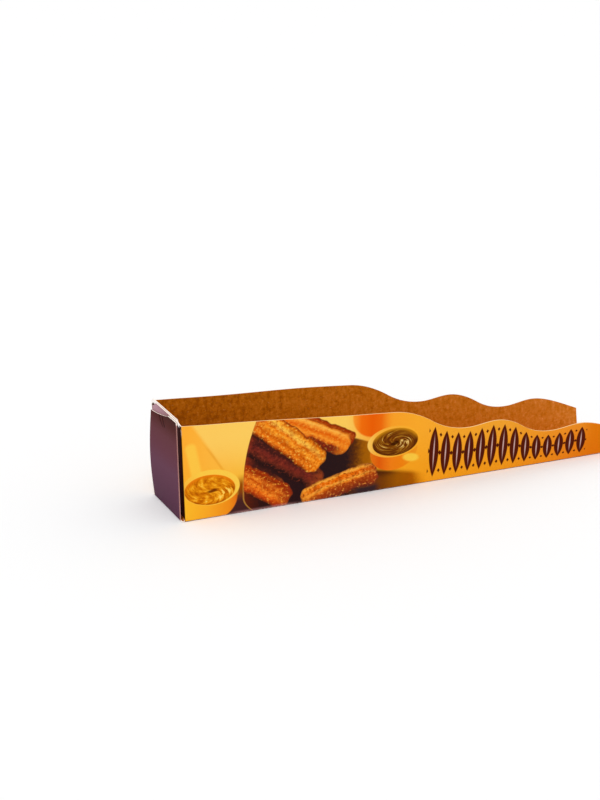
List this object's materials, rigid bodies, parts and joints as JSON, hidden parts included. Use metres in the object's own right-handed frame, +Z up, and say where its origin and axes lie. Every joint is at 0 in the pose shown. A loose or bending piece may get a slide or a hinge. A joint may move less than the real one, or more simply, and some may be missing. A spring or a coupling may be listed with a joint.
{
  "type": "open churro box",
  "caption": "Long open-topped card tray for fried dough sticks, with wavy side walls that step down from a closed end to an open end.",
  "frame": {"origin": "middle of the box's footprint, on the surface it rests on", "axes": "+Z up, X along the tray from the closed end to the open end, the shown front wall faces -Y"},
  "size_m": [0.2268, 0.0498, 0.0454],
  "materials": {
    "printed_card": "satin printed card outside, plain brown kraft inside, pale cut edges"
  },
  "bodies": {
    "root": {"tray": "printed_card"}
  },
  "joints": []
}
